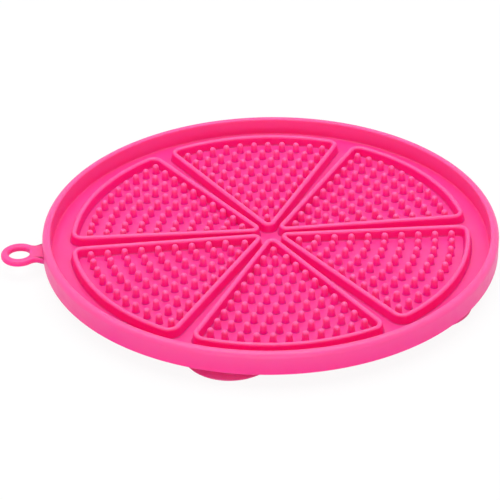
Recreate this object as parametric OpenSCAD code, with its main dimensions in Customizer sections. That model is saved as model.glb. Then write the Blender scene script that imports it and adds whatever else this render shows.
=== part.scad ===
// Round lick mat for a dog or cat: one silicone moulding with six nubbed pockets,
// a raised rim, a hanging tab and five suction cups underneath.
// Millimetres. +Z is up, z = 0 is the surface that the cups stand on, and the
// origin is the middle of the outline, tab included. The tab points along -X.

/* [Plate] */
// Diameter across the rim
plate_d = 199; // [150:1:250]
// Height from the underside to the top of the rim
plate_h = 10; // [8:0.1:14]
// Thickness of the floor
floor_t = 2; // [1.2:0.1:3]
// Thickness of the rim where it meets the floor
rim_foot_t = 3.8; // [3.4:0.1:6]
// Thickness of the rim near its top
rim_top_t = 3.6; // [3.2:0.1:4]
// Rounding of the outer top edge of the rim
rim_edge_r = 2.2; // [0.6:0.1:2.6]
// Rounding of the inner top edge of the rim
rim_brow_r = 0.9; // [0.4:0.1:1.3]
// Rounding of the lower outer edge of the rim
under_edge_r = 0.7; // [0.4:0.1:2]
// Fillet where the rim meets the floor
rim_fillet_r = 0.6; // [0.4:0.1:2]

/* [Pockets] */
// Height of the pocket walls above the floor
wall_h = 4.45; // [3:0.05:6]
// Thickness of the pocket walls at the floor
wall_t = 3.0; // [2:0.1:4]
// How much thinner the wall is near its rounded top
wall_draft = 0.3; // [0:0.1:0.6]
// Clear width of the ring channel between the pockets and the rim
channel_w = 8; // [5:0.1:14]
// Clear width between neighbouring pockets, continued to the middle
gap_in_w = 1.2; // [1:0.1:4]
// Clear width between neighbouring pockets at their outer ends
gap_out_w = 5.9; // [4:0.1:10]
// Radius inside a pocket at its pointed end
tip_inner_r = 0.7; // [0.5:0.1:3]
// Radius inside a pocket at its two outer corners
corner_inner_r = 2.5; // [1:0.1:6]

/* [Nubs] */
// Height of a nub above the floor
nub_h = 4.6; // [2.5:0.05:6]
// Diameter of a nub at the floor
nub_foot_d = 3.2; // [1.8:0.1:3.8]
// Diameter of a nub below its domed tip
nub_tip_d = 2.8; // [1.4:0.1:3.2]
// Distance from the middle to the first row of nubs
nub_first_r = 13.7; // [11:0.1:18]
// Distance from one row of nubs to the next
nub_row_pitch = 7.28; // [5.5:0.01:10]
// Distance from nub to nub along a row
nub_pitch = 6.4; // [5:0.1:9]
// Step from the end nub of a row to its neighbour, as a share of the row's other steps
nub_end_step_share = 0.92; // [0.8:0.01:1]
// Clear gap between the last row of nubs and the outer wall, at least
nub_end_gap = 3.2; // [1:0.1:6]
// Clear gap between a nub and the side wall at the first row
nub_gap_in = 0.1; // [0.1:0.05:2]
// Clear gap between a nub and the side wall at the last row
nub_gap_out = 1.6; // [0.4:0.05:3]
// Depth of the slice of floor that carries the nubs of one pocket
nub_slice_t = 0.8; // [0.4:0.1:1]

/* [Hanging tab] */
// Distance from the rim to the tip of the tab
tab_reach = 18.3; // [14:0.1:30]
// Width of the round end of the tab
tab_w = 16; // [13:0.1:22]
// Diameter of the hanging hole
tab_hole_d = 9.3; // [5:0.1:11]
// Thickness of the tab
tab_t = 2.9; // [1.5:0.1:4]
// Radius of the hollow sides where the tab flares into the rim
tab_flare_r = 4.0; // [3:0.1:6]

/* [Suction cups] */
// Distance from the outer edge of the plate in to the middle of a cup
cup_inset = 23; // [22:0.5:30]
// Diameter of a cup at its lip
cup_d = 39; // [30:1:42]
// Height from the lip to the underside of the plate
cup_h = 6.5; // [6:0.1:12]
// Thickness of the cup at its crown
cup_crown_t = 2.0; // [1.2:0.1:3]
// Depth of the hollow under the crown
cup_hollow_h = 3.2; // [2:0.1:4]
// Thickness of the lip
cup_lip_t = 0.8; // [0.5:0.1:1.5]
// Width of the flat band that seals against the floor
cup_band_w = 1.2; // [0.6:0.1:3]
// Diameter of the stem that joins a cup to the plate
stem_d = 12; // [8:0.5:16]
// Flare of the stem where it meets the plate
stem_flare_r = 1.2; // [0.4:0.1:1.5]

/* [Hidden] */
$fn = 96;

// Number of pockets round the middle, and of suction cups underneath
pocket_count = 6;
cup_count = 5;

// Colours of the moulding
floor_pink = [0.99, 0.24, 0.52];
wall_pink = [1.0, 0.34, 0.62];
nub_pink = [1.0, 0.40, 0.66];

// Straight pieces in one rounded edge
edge_steps = 5;
// Straight pieces in the rounded top of a pocket wall, along its outer arc, and round a corner
wall_top_steps = 8;
wall_arc_steps = 18;
wall_corner_steps = 8;
// Straight pieces in each long curve of a cup
dome_steps = 9;
// Straight pieces in each curve of the tab
tab_steps = 14;
// Overrun of a cutting shape past the face that it cuts
overrun = 1;
// How deep the nubs are rooted in their slice of floor
root_d = nub_slice_t / 2;

// Levels
underside_z = cup_h;
floor_z = underside_z + floor_t;
top_z = underside_z + plate_h;
crown_z = cup_hollow_h + cup_crown_t;

// The plate
plate_r = plate_d / 2;
foot_r = plate_r - rim_foot_t;
brow_r = plate_r - rim_top_t;
middle_x = tab_reach / 2;

// The middle line of one pocket's wall, with the pocket's axis along +X
sector_a = 360 / pocket_count;
arc_r = foot_r - channel_w - wall_t / 2;
offset_in = (gap_in_w + wall_t) / 2;
offset_out = (gap_out_w + wall_t) / 2;
spread = (offset_out - offset_in) / arc_r;
side_a = sector_a / 2 - atan(spread);
tip_x = offset_in / (sin(sector_a / 2) - spread * cos(sector_a / 2));
tip_r = tip_inner_r + wall_t / 2;
corner_r = corner_inner_r + wall_t / 2;
tip_centre_x = tip_x + tip_r / sin(side_a);
corner_line_x = tip_x + corner_r / sin(side_a);
corner_run = sqrt(pow(arc_r - corner_r, 2) - pow(corner_line_x * sin(side_a), 2))
    - corner_line_x * cos(side_a);
corner_centre = [corner_line_x + corner_run * cos(side_a), corner_run * sin(side_a)];
corner_a = atan2(corner_centre[1], corner_centre[0]);

// The rows of nubs
nub_foot_r = nub_foot_d / 2;
nub_tip_r = nub_tip_d / 2;
nub_last_limit_r = arc_r - wall_t / 2 - nub_end_gap - nub_foot_r;
nub_rows = floor((nub_last_limit_r - nub_first_r) / nub_row_pitch) + 1;

function row_r(row) = nub_first_r + row * nub_row_pitch;
function side_gap(r) = nub_gap_in
    + (nub_gap_out - nub_gap_in) * (r - nub_first_r) / (nub_last_limit_r - nub_first_r);
// Distance of a row's end nubs from the line midway between two pockets
function end_offset(r) = offset_in + spread * r + wall_t / 2 + side_gap(r) + nub_foot_r;
function row_half_a(r) = sector_a / 2 - asin(min(1, end_offset(r) / r));
function row_length(r) = 2 * r * row_half_a(r) * PI / 180;
function row_count(r) = round(row_length(r) / nub_pitch) + 1;
// Bearing of one nub of a row from the pocket's axis
function nub_bearing(r, count, i) =
    let (half_a = row_half_a(r), step_a = 2 * half_a / (count - 3 + 2 * nub_end_step_share))
    count == 1 ? 0
        : i == 0 ? -half_a
        : i == count - 1 ? half_a
        : (nub_end_step_share + i - 1) * step_a - half_a;

// The hanging tab
tab_end_r = tab_w / 2;
tab_middle_r = plate_r + tab_reach - tab_end_r;
flare_meet_a = 30;
flare_centre_r = plate_r + tab_flare_r * cos(flare_meet_a);
flare_ring_r = tab_end_r + tab_flare_r;
flare_a = acos((pow(flare_centre_r, 2) + pow(tab_middle_r, 2) - pow(flare_ring_r, 2))
    / (2 * flare_centre_r * tab_middle_r));
flare_centre = flare_centre_r * [cos(flare_a), sin(flare_a)];
flare_ring_a = atan2(flare_centre[1], flare_centre[0] - tab_middle_r);

// The suction cups
cup_r = cup_d / 2;
stem_r = stem_d / 2;
cup_ring_r = plate_r - cup_inset;
hollow_r = cup_r - cup_band_w;
hollow_arc_r = (pow(hollow_r, 2) + pow(cup_hollow_h, 2)) / (2 * cup_hollow_h);
hollow_arc_a = asin(hollow_r / hollow_arc_r);
shell_centre_z = (pow(stem_r, 2) + pow(crown_z, 2) - pow(cup_r, 2) - pow(cup_lip_t, 2))
    / (2 * (crown_z - cup_lip_t));
shell_arc_r = norm([cup_r, cup_lip_t - shell_centre_z]);
shell_lip_a = asin(cup_r / shell_arc_r);
shell_stem_a = asin(stem_r / shell_arc_r);
cup_step_a = 360 / cup_count;

// Points along an arc, from angle a0 to angle a1
function arc(centre, r, a0, a1, steps) = [
    for (i = [0:steps])
        let (a = a0 + (a1 - a0) * i / steps)
        centre + r * [cos(a), sin(a)]
];

// Section through the rim, as distance from the middle and height
function rim_section() = concat(
    [[foot_r, underside_z]],
    arc([plate_r - under_edge_r, underside_z + under_edge_r], under_edge_r, -90, 0, edge_steps),
    arc([plate_r - rim_edge_r, top_z - rim_edge_r], rim_edge_r, 0, 90, edge_steps),
    arc([brow_r + rim_brow_r, top_z - rim_brow_r], rim_brow_r, 90, 180, edge_steps),
    arc([foot_r - rim_fillet_r, floor_z + rim_fillet_r], rim_fillet_r, 0, -90, edge_steps),
    [[foot_r, floor_z]]
);

// Section through a pocket wall, as distance from its middle line and height
wall_top_r = wall_t / 2 - wall_draft;
wall_section = concat(
    [[-wall_t / 2, 0], [wall_t / 2, 0]],
    arc([0, wall_h - wall_top_r], wall_top_r, 0, 180, wall_top_steps)
);

// Stations along one bend of a wall's middle line: centre, radius and angle
function bend(centre, r, a0, a1, steps) = [
    for (i = [0:steps])
        [centre, r, a0 + (a1 - a0) * i / steps]
];
function without_last(list) = [
    for (i = [0:len(list) - 2])
        list[i]
];

// The whole middle line, counter-clockwise: outer arc, corner, pointed end, corner.
// The straight sides run from the last station of one bend to the first of the next.
wall_stations = concat(
    without_last(bend([0, 0], arc_r, -corner_a, corner_a, wall_arc_steps)),
    bend(corner_centre, corner_r, corner_a, 90 + side_a, wall_corner_steps),
    bend([tip_centre_x, 0], tip_r, 90 + side_a, 270 - side_a, wall_corner_steps),
    without_last(bend([corner_centre[0], -corner_centre[1]], corner_r,
        270 - side_a, 360 - corner_a, wall_corner_steps))
);

function wall_point(station, section_point) =
    let (centre = station[0], r = station[1] + section_point[0], a = station[2])
    [centre[0] + r * cos(a), centre[1] + r * sin(a), section_point[1]];

module on_plate() {
    translate([middle_x, 0, 0])
        children();
}

module at_pocket(number) {
    on_plate()
        rotate([0, 0, (number - 0.5) * sector_a])
            children();
}

// The section carried round the stations, as one closed loop of wall
module wall_loop() {
    around = len(wall_stations);
    across = len(wall_section);
    points = [
        for (station = wall_stations)
            for (section_point = wall_section)
                wall_point(station, section_point)
    ];
    faces = [
        for (i = [0:around - 1])
            for (j = [0:across - 1])
                let (next_i = (i + 1) % around, next_j = (j + 1) % across)
                [i * across + j, i * across + next_j, next_i * across + next_j, next_i * across + j]
    ];
    polyhedron(points = points, faces = faces);
}

module pocket_wall(number) {
    color(wall_pink)
        at_pocket(number)
            translate([0, 0, floor_z])
                wall_loop();
}

// Outline of the floor inside one pocket, between the inner faces of its wall
module pocket_floor_outline() {
    inner_tip_x = tip_x + wall_t / 2 / sin(side_a);
    reach = plate_d;
    intersection() {
        circle(r = arc_r - wall_t / 2);
        polygon([
            [inner_tip_x, 0],
            [inner_tip_x + reach * cos(side_a), -reach * sin(side_a)],
            [inner_tip_x + reach * cos(side_a), reach * sin(side_a)]
        ]);
    }
}

module base_plate() {
    color(floor_pink)
        difference() {
            on_plate()
                translate([0, 0, underside_z])
                    cylinder(r = foot_r, h = floor_t);
            for (number = [1:pocket_count])
                at_pocket(number)
                    translate([0, 0, floor_z - nub_slice_t])
                        linear_extrude(height = nub_slice_t + overrun)
                            pocket_floor_outline();
        }
}

module rim() {
    color(wall_pink)
        on_plate()
            rotate_extrude()
                polygon(rim_section());
}

// A tapered nub with a domed tip, rooted in the slice of floor below it
module nub() {
    translate([0, 0, -root_d])
        cylinder(r1 = nub_foot_r, r2 = nub_tip_r, h = root_d + nub_h - nub_tip_r, $fn = 24);
    translate([0, 0, nub_h - nub_tip_r])
        sphere(r = nub_tip_r, $fn = 24);
}

module nub_field(number) {
    color(nub_pink)
        at_pocket(number) {
            translate([0, 0, floor_z - nub_slice_t])
                linear_extrude(height = nub_slice_t)
                    pocket_floor_outline();
            for (row = [0:nub_rows - 1]) {
                r = row_r(row);
                count = row_count(r);
                for (i = [0:count - 1])
                    rotate([0, 0, nub_bearing(r, count, i)])
                        translate([r, 0, floor_z])
                            nub();
            }
        }
}

// Half of the tab's outline, from its tip to inside the rim
function tab_half() = concat(
    arc([tab_middle_r, 0], tab_end_r, 0, flare_ring_a, tab_steps),
    arc(flare_centre, tab_flare_r, flare_ring_a + 180, flare_a + 180 + flare_meet_a, tab_steps),
    [[foot_r, plate_r * sin(flare_a)]]
);

module hanging_tab() {
    half = tab_half();
    last = len(half) - 1;
    other = [for (i = [last:-1:1]) [half[i][0], -half[i][1]]];
    color(wall_pink)
        on_plate()
            mirror([1, 0, 0])
                difference() {
                    translate([0, 0, underside_z])
                        linear_extrude(height = tab_t)
                            polygon(concat(half, other));
                    translate([tab_middle_r, 0, underside_z - overrun])
                        cylinder(d = tab_hole_d, h = tab_t + 2 * overrun);
                    translate([0, 0, underside_z - overrun])
                        cylinder(r = plate_r, h = tab_t + 2 * overrun);
                }
}

module at_cup(number) {
    on_plate()
        rotate([0, 0, 180 + (number - 1) * cup_step_a])
            translate([cup_ring_r, 0, 0])
                children();
}

module cup_stem(number) {
    color(wall_pink)
        at_cup(number)
            rotate_extrude()
                polygon(concat(
                    [[0, crown_z], [stem_r, crown_z]],
                    arc([stem_r + stem_flare_r, underside_z - stem_flare_r], stem_flare_r,
                        180, 90, edge_steps),
                    [[0, underside_z]]
                ));
}

module cup_skirt(number) {
    color(floor_pink)
        at_cup(number)
            rotate_extrude()
                polygon(concat(
                    arc([0, cup_hollow_h - hollow_arc_r], hollow_arc_r, 90, 90 - hollow_arc_a,
                        dome_steps),
                    [[cup_r, 0]],
                    arc([0, shell_centre_z], shell_arc_r, 90 - shell_lip_a, 90 - shell_stem_a,
                        dome_steps),
                    [[0, crown_z]]
                ));
}

base_plate();
rim();
pocket_wall(1);  // pocket_wall_1
pocket_wall(2);  // pocket_wall_2
pocket_wall(3);  // pocket_wall_3
pocket_wall(4);  // pocket_wall_4
pocket_wall(5);  // pocket_wall_5
pocket_wall(6);  // pocket_wall_6
nub_field(1);  // nub_field_1
nub_field(2);  // nub_field_2
nub_field(3);  // nub_field_3
nub_field(4);  // nub_field_4
nub_field(5);  // nub_field_5
nub_field(6);  // nub_field_6
hanging_tab();
cup_stem(1);  // cup_stem_1
cup_stem(2);  // cup_stem_2
cup_stem(3);  // cup_stem_3
cup_stem(4);  // cup_stem_4
cup_stem(5);  // cup_stem_5
cup_skirt(1);  // cup_skirt_1
cup_skirt(2);  // cup_skirt_2
cup_skirt(3);  // cup_skirt_3
cup_skirt(4);  // cup_skirt_4
cup_skirt(5);  // cup_skirt_5
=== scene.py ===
"""Looks of the lick mat: a satin pink silicone moulding in plain white studio light."""

import math

import bpy
from mathutils import Matrix, Vector


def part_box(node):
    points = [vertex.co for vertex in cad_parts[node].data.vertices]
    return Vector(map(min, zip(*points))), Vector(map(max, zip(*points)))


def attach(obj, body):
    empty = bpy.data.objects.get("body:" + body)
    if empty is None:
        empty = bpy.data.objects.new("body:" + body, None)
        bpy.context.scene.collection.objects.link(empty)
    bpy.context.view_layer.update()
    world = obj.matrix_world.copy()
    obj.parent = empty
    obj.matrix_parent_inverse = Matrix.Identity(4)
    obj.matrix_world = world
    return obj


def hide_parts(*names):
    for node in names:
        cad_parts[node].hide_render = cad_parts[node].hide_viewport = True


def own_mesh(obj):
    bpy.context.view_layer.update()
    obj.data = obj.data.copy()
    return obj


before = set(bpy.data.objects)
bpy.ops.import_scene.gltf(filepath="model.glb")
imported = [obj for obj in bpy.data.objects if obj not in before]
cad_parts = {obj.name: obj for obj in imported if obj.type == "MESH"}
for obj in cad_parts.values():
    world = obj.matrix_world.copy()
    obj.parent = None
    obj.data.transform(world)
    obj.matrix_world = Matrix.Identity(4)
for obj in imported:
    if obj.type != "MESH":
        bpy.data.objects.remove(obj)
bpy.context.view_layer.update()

MM = 0.001
POCKETS = range(1, 7)
CUPS = range(1, 6)

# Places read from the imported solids
plate_low, plate_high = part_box("base_plate")
rim_low, rim_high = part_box("rim")
wall_low, wall_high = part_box("pocket_wall_2")
tab_low, tab_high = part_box("hanging_tab")
skirt_low, skirt_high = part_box("cup_skirt_1")

plate_x = (rim_low.x + rim_high.x) / 2
plate_r = (rim_high.x - rim_low.x) / 2
under_z = plate_low.z
floor_z = plate_high.z
top_z = rim_high.z

# Rim, as in the solids, with finer roundings
rim_foot_t = plate_r - (plate_high.x - plate_low.x) / 2
rim_top_t = 3.6 * MM
rim_edge_r = 2.2 * MM
rim_brow_r = 0.9 * MM
under_edge_r = 0.7 * MM
rim_fillet_r = 0.6 * MM

# Pocket walls
wall_h = wall_high.z - wall_low.z
wall_t = 3.0 * MM
wall_draft = 0.3 * MM
wall_fillet_r = 0.4 * MM
channel_w = 8.0 * MM
gap_in_w = 1.2 * MM
gap_out_w = 5.9 * MM
tip_inner_r = 0.7 * MM
corner_inner_r = 2.5 * MM

# Nubs
nub_h = 4.6 * MM
nub_foot_r = 1.6 * MM
nub_tip_r = 1.4 * MM
nub_fillet_r = 0.2 * MM
nub_first_r = 13.7 * MM
nub_row_pitch = 7.28 * MM
nub_pitch = 6.4 * MM
nub_end_step_share = 0.92
nub_end_gap = 3.2 * MM
nub_gap_in = 0.1 * MM
nub_gap_out = 1.6 * MM

# Hanging tab
tab_t = tab_high.z - tab_low.z
tab_end_r = 8.0 * MM
tab_hole_r = 4.65 * MM
tab_flare_r = 4.0 * MM
tab_edge_r = 1.1 * MM
tab_flare_meet = math.radians(30)

# Suction cups
cup_r = (skirt_high.y - skirt_low.y) / 2
cup_ring_r = plate_x - (skirt_low.x + skirt_high.x) / 2
crown_z = skirt_high.z
cup_hollow_h = 3.2 * MM
cup_lip_t = 0.8 * MM
cup_band_w = 1.2 * MM
stem_r = 6.0 * MM
stem_flare_r = 1.2 * MM
# In degrees: where the lip's rounding stops, and how far the dome's start is held back to meet it
SKIRT_LIP_END = 60
SKIRT_LIP_EASE = 2

# How far a piece reaches under the surface that it grows from
root = 0.3 * MM
# Distance of the extra ring beside each rounding, which keeps the flats flat
guard = 0.12 * MM
# A radius below this is on the axis
ON_AXIS = 1e-9

# Steps round each turned piece and along each rounding
PLATE_TURNS, NUB_TURNS, STEM_TURNS, SKIRT_TURNS = 360, 20, 72, 96
RIM_STEPS = 10
WALL_ARC_STEPS, WALL_SIDE_STEPS, WALL_CORNER_STEPS, WALL_TIP_STEPS = 64, 12, 20, 24
WALL_CROWN_STEPS, WALL_FILLET_STEPS = 18, 5
NUB_DOME_STEPS, NUB_FILLET_STEPS = 7, 4
TAB_END_STEPS, TAB_FLARE_STEPS, TAB_EDGE_STEPS = 36, 20, 6
STEM_FLARE_STEPS, SKIRT_LIP_STEPS, SKIRT_DOME_STEPS = 8, 8, 24

# Camera, fitted to the photograph, and the height above the floor of the level that it was fitted at
CAMERA_LEVEL = 7.5 * MM
PLATE_TURN = math.radians(5.319)
CAMERA_RISE = math.radians(31.464)
CAMERA_ROLL = math.radians(-0.866)
CAMERA_REACH = 885.02 * MM
CAMERA_AIM = Vector((-8.765 * MM, -20.534 * MM, 0))
CAMERA_LENS = 145.76
CAMERA_SENSOR = 36
CAMERA_NEAR = 10 * MM
CAMERA_FAR = 20


def set_camera():
    """A camera at the photograph's place, aimed and rolled as the photograph is."""
    turn = Matrix.Rotation(-PLATE_TURN, 3, "Z")
    centre = Vector((plate_x, 0, floor_z + CAMERA_LEVEL))
    eye = turn @ (CAMERA_REACH * Vector((0, -math.cos(CAMERA_RISE), math.sin(CAMERA_RISE))))
    back = (eye - turn @ CAMERA_AIM).normalized()
    right = Vector((0, 0, 1)).cross(back).normalized()
    up = back.cross(right)
    rolled_right = math.cos(CAMERA_ROLL) * right + math.sin(CAMERA_ROLL) * up
    rolled_up = back.cross(rolled_right)
    camera = bpy.data.objects.new("camera", bpy.data.cameras.new("camera"))
    camera.data.lens = CAMERA_LENS
    camera.data.sensor_width = CAMERA_SENSOR
    camera.data.clip_start = CAMERA_NEAR
    camera.data.clip_end = CAMERA_FAR
    axes = Matrix((rolled_right, rolled_up, back)).transposed().to_4x4()
    camera.matrix_world = Matrix.Translation(centre + eye) @ axes
    bpy.context.collection.objects.link(camera)
    bpy.context.scene.camera = camera


# Curves and meshes

def arc(centre, radius, start, stop, steps):
    """Points along an arc, as pairs, from one angle in degrees to the other."""
    angles = [math.radians(start + (stop - start) * i / steps) for i in range(steps + 1)]
    return [(centre[0] + radius * math.cos(a), centre[1] + radius * math.sin(a)) for a in angles]


def guarded(points, gap=guard):
    """The same outline with a point added close to both ends of each long straight stretch."""
    out = [points[0]]
    for here, there in zip(points, points[1:]):
        length = math.dist(here, there)
        if length > 4 * gap:
            share = gap / length
            for t in (share, 1 - share):
                out.append((here[0] + t * (there[0] - here[0]), here[1] + t * (there[1] - here[1])))
        out.append(there)
    return out


def new_piece(name, points, faces):
    """A smooth-shaded object from points and faces."""
    mesh = bpy.data.meshes.new(name)
    mesh.from_pydata(points, [], faces)
    mesh.validate()
    mesh.update()
    mesh.shade_smooth()
    piece = bpy.data.objects.new(name, mesh)
    bpy.context.collection.objects.link(piece)
    return piece


def lathe(profile, centre, turns):
    """Points and faces of a profile of (radius, height) turned about a vertical line.
    A profile that starts or ends on the line closes there in a fan."""
    points, faces, rings = [], [], []
    for radius, height in profile:
        first = len(points)
        if radius < ON_AXIS:
            points.append((centre[0], centre[1], height))
            rings.append([first] * turns)
            continue
        for i in range(turns):
            a = 2 * math.pi * i / turns
            points.append((centre[0] + radius * math.cos(a), centre[1] + radius * math.sin(a), height))
        rings.append(list(range(first, first + turns)))
    for low, high in zip(rings, rings[1:]):
        for i in range(turns):
            j = (i + 1) % turns
            corners = (low[i], low[j], high[j], high[i])
            faces.append(tuple(dict.fromkeys(corners)))
    return points, faces


def loop_of_rows(rows):
    """Points and faces of closed sections set side by side round a closed path."""
    around, across = len(rows), len(rows[0])
    points = [point for row in rows for point in row]
    faces = []
    for i in range(around):
        for j in range(across):
            next_i, next_j = (i + 1) % around, (j + 1) % across
            faces.append((i * across + j, next_i * across + j, next_i * across + next_j, i * across + next_j))
    return points, faces


# Materials

# Two near pinks for the moulding, and two paler ones for its nubs and cups, a painted glow standing in for
# the light that passes through their thin silicone
MAT_PINKS = ((0.90, 0.002, 0.26, 1), (0.94, 0.004, 0.285, 1))
PAINTED_SHINE_THROUGH_PINKS = ((0.92, 0.002, 0.35, 1), (0.95, 0.004, 0.375, 1))
# Painted light: a paler pink mixed in towards the top of each piece, standing in for the light on the tops
# and for light on the cups under the plate
PAINTED_LIGHT_PINK = (0.97, 0.09, 0.345, 1)

# Scale per metre and detail of each noise; the grain's scale goes by the kind of piece
CLOUD_SCALE, CLOUD_DETAIL = 40, 3
SHEEN_SCALE, SHEEN_DETAIL = 220, 4
GRAIN_DETAIL = 5
MAT_GRAIN, NUB_GRAIN, CUP_GRAIN = 2600, 3200, 1800
NOISE_MIDDLE = (0.3, 0.7)

# Roughness from smoothest to dullest, the moulded grain, and how far each colour of light spreads inside
SATIN_LOW, SATIN_HIGH = 0.38, 0.48
GRAIN_STRENGTH = 0.25
GRAIN_DEPTH = 0.03 * MM
SILICONE_IOR = 1.45
SILICONE_SHINE = 0.7
GLOW_BY_COLOUR = (1.0, 0.4, 0.8)
MAT_GLOW = 1.3 * MM
NUB_GLOW = 1.4 * MM
CUP_GLOW = 0.5 * MM

# Heights between which each piece is painted paler upwards, as painted light on its higher, better-lit parts;
# the cups are painted paler nearly all over, as painted light in the plate's shade
wall_top_z = floor_z + wall_h
PLATE_PAINTED_LIGHT = (floor_z - 9.0 * MM, top_z + 6.0 * MM)
WALL_PAINTED_LIGHT = (wall_top_z - 1.2 * MM, wall_top_z + 0.3 * MM)
TAB_PAINTED_LIGHT = (under_z, under_z + 1.8 * tab_t)
NUB_PAINTED_LIGHT = (floor_z, floor_z + 0.9 * nub_h)
CUP_PAINTED_LIGHT = (-12.0 * MM, 4.0 * MM)


def noise(nodes, links, place, scale, detail):
    texture = nodes.new("ShaderNodeTexNoise")
    texture.inputs["Scale"].default_value = scale
    texture.inputs["Detail"].default_value = detail
    links.new(place, texture.inputs["Vector"])
    return texture.outputs["Fac"]


def spread_to(nodes, links, value, low, high):
    """The noise's middle range opened out to run from low to high."""
    widened = nodes.new("ShaderNodeMapRange")
    widened.inputs["From Min"].default_value = NOISE_MIDDLE[0]
    widened.inputs["From Max"].default_value = NOISE_MIDDLE[1]
    widened.inputs["To Min"].default_value = low
    widened.inputs["To Max"].default_value = high
    links.new(value, widened.inputs["Value"])
    return widened.outputs["Result"]


def silicone(name, pinks, grain, glow_depth, painted_light_heights):
    """Satin silicone: two near pinks in slow clouds, painted paler upwards between two heights as painted
    light on the higher parts, with a fine moulded grain and an uneven sheen."""
    material = bpy.data.materials.new(name)
    material.use_nodes = True
    nodes, links = material.node_tree.nodes, material.node_tree.links
    shader = nodes["Principled BSDF"]
    place = nodes.new("ShaderNodeTexCoord").outputs["Object"]
    clouds = nodes.new("ShaderNodeMix")
    clouds.data_type = "RGBA"
    clouds.inputs["A"].default_value, clouds.inputs["B"].default_value = pinks
    cloud = noise(nodes, links, place, CLOUD_SCALE, CLOUD_DETAIL)
    links.new(spread_to(nodes, links, cloud, 0, 1), clouds.inputs["Factor"])
    height = nodes.new("ShaderNodeSeparateXYZ")
    links.new(place, height.inputs["Vector"])
    rise = nodes.new("ShaderNodeMapRange")
    rise.interpolation_type = "SMOOTHSTEP"
    rise.inputs["From Min"].default_value = painted_light_heights[0]
    rise.inputs["From Max"].default_value = painted_light_heights[1]
    links.new(height.outputs["Z"], rise.inputs["Value"])
    # Painted light: the colour is mixed towards a paler pink higher up, standing in for the light that falls
    # on the tops
    painted_light = nodes.new("ShaderNodeMix")
    painted_light.data_type = "RGBA"
    painted_light.inputs["B"].default_value = PAINTED_LIGHT_PINK
    links.new(rise.outputs["Result"], painted_light.inputs["Factor"])
    links.new(clouds.outputs["Result"], painted_light.inputs["A"])
    links.new(painted_light.outputs["Result"], shader.inputs["Base Color"])
    sheen = noise(nodes, links, place, SHEEN_SCALE, SHEEN_DETAIL)
    links.new(spread_to(nodes, links, sheen, SATIN_LOW, SATIN_HIGH), shader.inputs["Roughness"])
    bump = nodes.new("ShaderNodeBump")
    bump.inputs["Strength"].default_value = GRAIN_STRENGTH
    bump.inputs["Distance"].default_value = GRAIN_DEPTH
    links.new(noise(nodes, links, place, grain, GRAIN_DETAIL), bump.inputs["Height"])
    links.new(bump.outputs["Normal"], shader.inputs["Normal"])
    shader.inputs["IOR"].default_value = SILICONE_IOR
    shader.inputs["Specular IOR Level"].default_value = SILICONE_SHINE
    shader.inputs["Subsurface Weight"].default_value = 1.0
    shader.inputs["Subsurface Radius"].default_value = GLOW_BY_COLOUR
    shader.inputs["Subsurface Scale"].default_value = glow_depth
    return material


PLATE_SILICONE = silicone("silicone_plate", MAT_PINKS, MAT_GRAIN, MAT_GLOW, PLATE_PAINTED_LIGHT)
WALL_SILICONE = silicone("silicone_walls", MAT_PINKS, MAT_GRAIN, MAT_GLOW, WALL_PAINTED_LIGHT)
TAB_SILICONE = silicone("silicone_tab", MAT_PINKS, MAT_GRAIN, MAT_GLOW, TAB_PAINTED_LIGHT)
NUB_SILICONE = silicone("silicone_nubs", PAINTED_SHINE_THROUGH_PINKS, NUB_GRAIN, NUB_GLOW, NUB_PAINTED_LIGHT)
CUP_SILICONE = silicone("silicone_cups", PAINTED_SHINE_THROUGH_PINKS, CUP_GRAIN, CUP_GLOW, CUP_PAINTED_LIGHT)


def dress(piece, material, slot, body, *nodes):
    """Gives a piece its finish, the body that it moves with and the solids that it stands for."""
    piece.data.materials.append(material)
    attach(piece, body)
    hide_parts(*nodes)


# Plate and rim

def make_plate():
    """The floor, the rim and the underside as one turned skin."""
    foot_r = plate_r - rim_foot_t
    brow_r = plate_r - rim_top_t
    middle_r = foot_r / 2
    profile = [(0, floor_z), (middle_r, floor_z)]
    profile += arc((foot_r - rim_fillet_r, floor_z + rim_fillet_r), rim_fillet_r, -90, 0, RIM_STEPS)
    profile += arc((brow_r + rim_brow_r, top_z - rim_brow_r), rim_brow_r, 180, 90, RIM_STEPS)
    profile += arc((plate_r - rim_edge_r, top_z - rim_edge_r), rim_edge_r, 90, 0, RIM_STEPS)
    profile += arc((plate_r - under_edge_r, under_z + under_edge_r), under_edge_r, 0, -90, RIM_STEPS)
    profile += [(middle_r, under_z), (0, under_z)]
    piece = new_piece("plate_and_rim", *lathe(guarded(profile), (plate_x, 0), PLATE_TURNS))
    dress(piece, PLATE_SILICONE, "silicone_mat", "mat", "base_plate", "rim")


# Pocket walls

half_sector = math.pi / len(POCKETS)
arc_r = plate_r - rim_foot_t - channel_w - wall_t / 2
offset_in = (gap_in_w + wall_t) / 2
offset_out = (gap_out_w + wall_t) / 2
spread = (offset_out - offset_in) / arc_r
side_a = half_sector - math.atan(spread)
tip_x = offset_in / (math.sin(half_sector) - spread * math.cos(half_sector))
tip_r = tip_inner_r + wall_t / 2
corner_r = corner_inner_r + wall_t / 2


def pocket_place(number):
    """The turn of one pocket about the middle of the plate."""
    return Matrix.Translation((plate_x, 0, 0)) @ Matrix.Rotation((2 * number - 1) * half_sector, 4, "Z")


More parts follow.
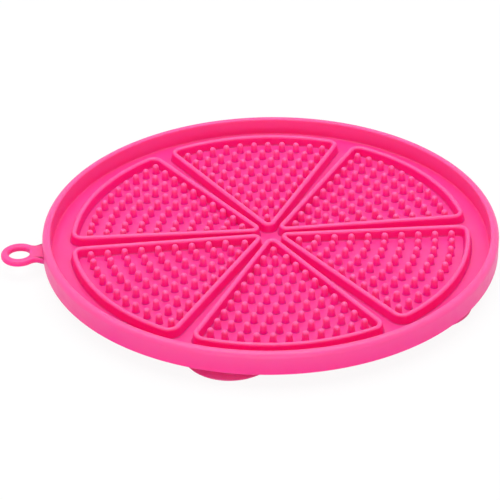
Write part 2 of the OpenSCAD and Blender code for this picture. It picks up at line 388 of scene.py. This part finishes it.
def wall_path():
    """Places along a wall's middle line and their outward directions, counter-clockwise."""
    line_x = tip_x + corner_r / math.sin(side_a)
    run = math.sqrt((arc_r - corner_r) ** 2 - (line_x * math.sin(side_a)) ** 2) - line_x * math.cos(side_a)
    corner = (line_x + run * math.cos(side_a), run * math.sin(side_a))
    corner_a = math.degrees(math.atan2(corner[1], corner[0]))
    side = math.degrees(side_a)
    tip = (tip_x + tip_r / math.sin(side_a), 0)

    def bend(centre, radius, start, stop, steps):
        turns = arc((0, 0), 1, start, stop, steps)
        return [((centre[0] + radius * x, centre[1] + radius * y), (x, y)) for x, y in turns]

    path = bend((0, 0), arc_r, -corner_a, corner_a, WALL_ARC_STEPS)[1:-1]
    path += bend(corner, corner_r, corner_a, 90 + side, WALL_CORNER_STEPS)
    tip_bend = bend(tip, tip_r, 90 + side, 270 - side, WALL_TIP_STEPS)
    path += straight(path[-1], tip_bend[0]) + tip_bend
    last_bend = bend((corner[0], -corner[1]), corner_r, 270 - side, 360 - corner_a, WALL_CORNER_STEPS)
    return path + straight(path[-1], last_bend[0]) + last_bend


def straight(here, there, steps=WALL_SIDE_STEPS):
    """Places between the ends of a straight side, closest together near its ends."""
    shares = [0.5 - 0.5 * math.cos(math.pi * i / steps) for i in range(1, steps)]
    (x0, y0), outward = here
    (x1, y1), _ = there
    return [((x0 + t * (x1 - x0), y0 + t * (y1 - y0)), outward) for t in shares]


def wall_section():
    """Half a round on two drafted sides, with a small fillet at each foot."""
    top_r = wall_t / 2 - wall_draft
    foot = wall_t / 2 + wall_fillet_r
    inner = arc((-foot, wall_fillet_r), wall_fillet_r, -90, 0, WALL_FILLET_STEPS)
    crown = arc((0, wall_h - top_r), top_r, 180, 0, WALL_CROWN_STEPS)
    outer = arc((foot, wall_fillet_r), wall_fillet_r, 180, 270, WALL_FILLET_STEPS)
    return guarded([(-foot, -root)] + inner + crown + outer + [(foot, -root)])


def make_pocket_wall(number):
    place = pocket_place(number)
    section = wall_section()
    rows = []
    for (x, y), (out_x, out_y) in wall_path():
        row = [(x + across * out_x, y + across * out_y, floor_z + height) for across, height in section]
        rows.append([place @ Vector(point) for point in row])
    piece = new_piece(f"pocket_wall_{number}_skin", *loop_of_rows(rows))
    dress(piece, WALL_SILICONE, "silicone_mat", "mat", f"pocket_wall_{number}")


# Nubs

def nub_places():
    """Where the nubs of one pocket stand, with the pocket's axis along +X."""
    last_limit = arc_r - wall_t / 2 - nub_end_gap - nub_foot_r
    rows = int((last_limit - nub_first_r) / nub_row_pitch) + 1
    places = []
    for row in range(rows):
        r = nub_first_r + row * nub_row_pitch
        side_gap = nub_gap_in + (nub_gap_out - nub_gap_in) * (r - nub_first_r) / (last_limit - nub_first_r)
        end_offset = offset_in + spread * r + wall_t / 2 + side_gap + nub_foot_r
        half = half_sector - math.asin(min(1, end_offset / r))
        count = round(2 * r * half / nub_pitch) + 1
        step = 2 * half / (count - 3 + 2 * nub_end_step_share)
        bearings = [-half] + [(nub_end_step_share + i) * step - half for i in range(count - 2)] + [half]
        places += [(r * math.cos(a), r * math.sin(a)) for a in (bearings if count > 1 else [0])]
    return places


def make_nub_field(number):
    """Domed, tapered nubs, each with a fillet at its foot."""
    flare = nub_foot_r + nub_fillet_r
    profile = [(0, floor_z - root), (flare, floor_z - root)]
    profile += arc((flare, floor_z + nub_fillet_r), nub_fillet_r, 270, 180, NUB_FILLET_STEPS)
    dome = arc((0, floor_z + nub_h - nub_tip_r), nub_tip_r, 0, 90, NUB_DOME_STEPS)
    profile += dome[:-1] + [(0, floor_z + nub_h)]
    place = pocket_place(number)
    points, faces = [], []
    for x, y in nub_places():
        centre = place @ Vector((x, y, 0))
        first = len(points)
        nub_points, nub_faces = lathe(profile, centre, NUB_TURNS)
        points += nub_points
        faces += [tuple(first + i for i in face) for face in nub_faces]
    piece = new_piece(f"nub_field_{number}_skin", points, faces)
    dress(piece, NUB_SILICONE, "silicone_nubs", "mat", f"nub_field_{number}")


# Hanging tab

def tab_outline():
    """The tab's outline from the middle of its tip round to the root, as pairs along -X."""
    middle_r = plate_x - tab_low.x - tab_end_r
    flare_r = plate_r + tab_flare_r * math.cos(tab_flare_meet)
    ring_r = tab_end_r + tab_flare_r
    flare_a = math.acos((flare_r ** 2 + middle_r ** 2 - ring_r ** 2) / (2 * flare_r * middle_r))
    flare = (flare_r * math.cos(flare_a), flare_r * math.sin(flare_a))
    ring_a = math.degrees(math.atan2(flare[1], flare[0] - middle_r))
    last = math.degrees(flare_a) + 180 + math.degrees(tab_flare_meet)
    half = arc((middle_r, 0), tab_end_r, 0, ring_a, TAB_END_STEPS)
    half += arc(flare, tab_flare_r, ring_a + 180, last, TAB_FLARE_STEPS)[1:]
    inside = plate_r - rim_foot_t / 2
    half += [(inside, half[-1][1]), (inside, half[-1][1] / 2)]
    mirrored = [(x, -y) for x, y in reversed(half[1:])]
    return half + mirrored, middle_r


def make_tab():
    """A flat ring on a waisted neck, its edges rounded over all the way round and in the eye."""
    outline, middle_r = tab_outline()
    edge = tab_edge_r
    foot, brow = (edge, under_z + edge), (edge, under_z + tab_t - edge)
    outer = arc(foot, edge, 270, 180, TAB_EDGE_STEPS) + arc(brow, edge, 180, 90, TAB_EDGE_STEPS)
    inner = arc(brow, edge, 90, 180, TAB_EDGE_STEPS) + arc(foot, edge, 180, 270, TAB_EDGE_STEPS)
    rows = []
    for i, here in enumerate(outline):
        before, after = outline[i - 1], outline[(i + 1) % len(outline)]
        along = Vector((after[0] - before[0], after[1] - before[1])).normalized()
        inward = Vector((-along.y, along.x))
        bearing = math.atan2(here[1], here[0] - middle_r)
        out = Vector((math.cos(bearing), math.sin(bearing)))
        row = [(Vector(here) + inward * reach, z) for reach, z in outer]
        row += [(Vector((middle_r, 0)) + out * (tab_hole_r + reach), z) for reach, z in inner]
        rows.append([(plate_x - flat.x, flat.y, z) for flat, z in row])
    piece = new_piece("hanging_tab_skin", *loop_of_rows(rows))
    dress(piece, TAB_SILICONE, "silicone_mat", "mat", "hanging_tab")


# Suction cups

def cup_centre(number):
    a = math.pi + (number - 1) * 2 * math.pi / len(CUPS)
    return (plate_x + cup_ring_r * math.cos(a), cup_ring_r * math.sin(a))


def make_cup_stem(number):
    profile = [(0, under_z + root), (stem_r + stem_flare_r, under_z + root)]
    profile += arc((stem_r + stem_flare_r, under_z - stem_flare_r), stem_flare_r, 90, 180, STEM_FLARE_STEPS)
    profile += [(stem_r, crown_z), (0, crown_z)]
    piece = new_piece(f"cup_stem_{number}_skin", *lathe(guarded(profile), cup_centre(number), STEM_TURNS))
    dress(piece, CUP_SILICONE, "silicone_cups", "mat", f"cup_stem_{number}")


def make_cup_skirt(number):
    """A thin domed cup: hollow below, a flat sealing band at the lip, and a rounded lip edge."""
    hollow_r = cup_r - cup_band_w
    hollow_arc_r = (hollow_r ** 2 + cup_hollow_h ** 2) / (2 * cup_hollow_h)
    hollow_a = math.degrees(math.asin(hollow_r / hollow_arc_r))
    rise = crown_z - cup_lip_t
    shell_z = (stem_r ** 2 + crown_z ** 2 - cup_r ** 2 - cup_lip_t ** 2) / (2 * rise)
    shell_arc_r = math.hypot(cup_r, cup_lip_t - shell_z)
    lip_a = math.degrees(math.asin(cup_r / shell_arc_r))
    stem_a = math.degrees(math.asin(stem_r / shell_arc_r))
    lip_r = cup_lip_t / 2
    profile = arc((0, cup_hollow_h - hollow_arc_r), hollow_arc_r, 90, 90 - hollow_a, SKIRT_DOME_STEPS)
    profile[0] = (0, cup_hollow_h)
    profile += arc((cup_r - lip_r, lip_r), lip_r, -90, SKIRT_LIP_END, SKIRT_LIP_STEPS)
    profile += arc((0, shell_z), shell_arc_r, 90 - lip_a + SKIRT_LIP_EASE, 90 - stem_a, SKIRT_DOME_STEPS)
    profile += [(0, crown_z)]
    centre = cup_centre(number)
    piece = new_piece(f"cup_skirt_{number}_skin", *lathe(profile, centre, SKIRT_TURNS))
    dress(piece, CUP_SILICONE, "silicone_cups", f"cup_{number}", f"cup_skirt_{number}")
    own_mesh(piece)


# Studio

def seen_as_white(nodes, links):
    """One where a camera, a glossy or a transmission ray looks, and zero for the light itself."""
    path = nodes.new("ShaderNodeLightPath")
    first = nodes.new("ShaderNodeMath")
    first.operation = "MAXIMUM"
    links.new(path.outputs["Is Camera Ray"], first.inputs[0])
    links.new(path.outputs["Is Glossy Ray"], first.inputs[1])
    second = nodes.new("ShaderNodeMath")
    second.operation = "MAXIMUM"
    links.new(first.outputs["Value"], second.inputs[0])
    links.new(path.outputs["Is Transmission Ray"], second.inputs[1])
    return second.outputs["Value"]


# Backdrop: its brightness at the horizon and overhead, the heights of the fade, and the light that it gives
HORIZON_LIGHT = 1.0
SKY_LIGHT = 0.45
FADE_START, FADE_STOP = 0.3, 1.0
SOFT_LIGHT = 0.52

FLOOR_REACH = 3.0
FLOOR_WHITE = (0.95, 0.95, 0.95, 1)
FLOOR_ROUGHNESS = 0.8
FLOOR_GLOW = 0.92

# Softboxes: place, width and height, power
OVERHEAD = ((0.0, 0.1, 1.1), (1.2, 0.9), 10.8)
FRONT = ((-0.15, -1.15, 0.2), (1.2, 0.3), 3.2)


def set_world():
    """A white backdrop that fades to soft grey overhead."""
    world = bpy.data.worlds.new("studio")
    world.use_nodes = True
    nodes, links = world.node_tree.nodes, world.node_tree.links
    light = nodes["Background"]
    light.inputs["Color"].default_value = (1, 1, 1, 1)
    height = nodes.new("ShaderNodeSeparateXYZ")
    links.new(nodes.new("ShaderNodeTexCoord").outputs["Generated"], height.inputs["Vector"])
    fade = nodes.new("ShaderNodeMapRange")
    fade.interpolation_type = "SMOOTHSTEP"
    fade.inputs["From Min"].default_value = FADE_START
    fade.inputs["From Max"].default_value = FADE_STOP
    fade.inputs["To Min"].default_value = HORIZON_LIGHT
    fade.inputs["To Max"].default_value = SKY_LIGHT
    links.new(height.outputs["Z"], fade.inputs["Value"])
    strength = nodes.new("ShaderNodeMapRange")
    strength.inputs["To Min"].default_value = SOFT_LIGHT
    links.new(fade.outputs["Result"], strength.inputs["To Max"])
    links.new(seen_as_white(nodes, links), strength.inputs["Value"])
    links.new(strength.outputs["Result"], light.inputs["Strength"])
    bpy.context.scene.world = world


def make_floor():
    """A white floor that shows nearly as bright as the backdrop and keeps a faint soft shadow."""
    reach = FLOOR_REACH
    corners = [(-reach, -reach, 0), (reach, -reach, 0), (reach, reach, 0), (-reach, reach, 0)]
    mesh = bpy.data.meshes.new("studio_floor")
    mesh.from_pydata(corners, [], [(0, 1, 2, 3)])
    floor = bpy.data.objects.new("studio_floor", mesh)
    bpy.context.collection.objects.link(floor)
    material = bpy.data.materials.new("studio_white")
    material.use_nodes = True
    nodes, links = material.node_tree.nodes, material.node_tree.links
    paper = nodes["Principled BSDF"]
    paper.inputs["Base Color"].default_value = FLOOR_WHITE
    paper.inputs["Roughness"].default_value = FLOOR_ROUGHNESS
    glow = nodes.new("ShaderNodeEmission")
    glow.inputs["Strength"].default_value = 1
    amount = nodes.new("ShaderNodeMath")
    amount.operation = "MULTIPLY"
    amount.inputs[1].default_value = FLOOR_GLOW
    links.new(seen_as_white(nodes, links), amount.inputs[0])
    mix = nodes.new("ShaderNodeMixShader")
    links.new(amount.outputs["Value"], mix.inputs["Fac"])
    links.new(paper.outputs["BSDF"], mix.inputs[1])
    links.new(glow.outputs["Emission"], mix.inputs[2])
    links.new(mix.outputs["Shader"], nodes["Material Output"].inputs["Surface"])
    mesh.materials.append(material)


def area_light(name, place, size, power):
    lamp = bpy.data.lights.new(name, "AREA")
    lamp.shape = "RECTANGLE"
    lamp.size = size[0]
    lamp.size_y = size[1]
    lamp.energy = power
    light = bpy.data.objects.new(name, lamp)
    light.location = place
    light.rotation_euler = (-Vector(place)).to_track_quat("-Z", "Y").to_euler()
    bpy.context.collection.objects.link(light)


set_camera()
bpy.context.scene.view_settings.view_transform = "Standard"
make_plate()
for pocket in POCKETS:
    make_pocket_wall(pocket)
    make_nub_field(pocket)
make_tab()
for cup in CUPS:
    make_cup_stem(cup)
    make_cup_skirt(cup)
set_world()
make_floor()
area_light("overhead_softbox", *OVERHEAD)
area_light("front_softbox", *FRONT)
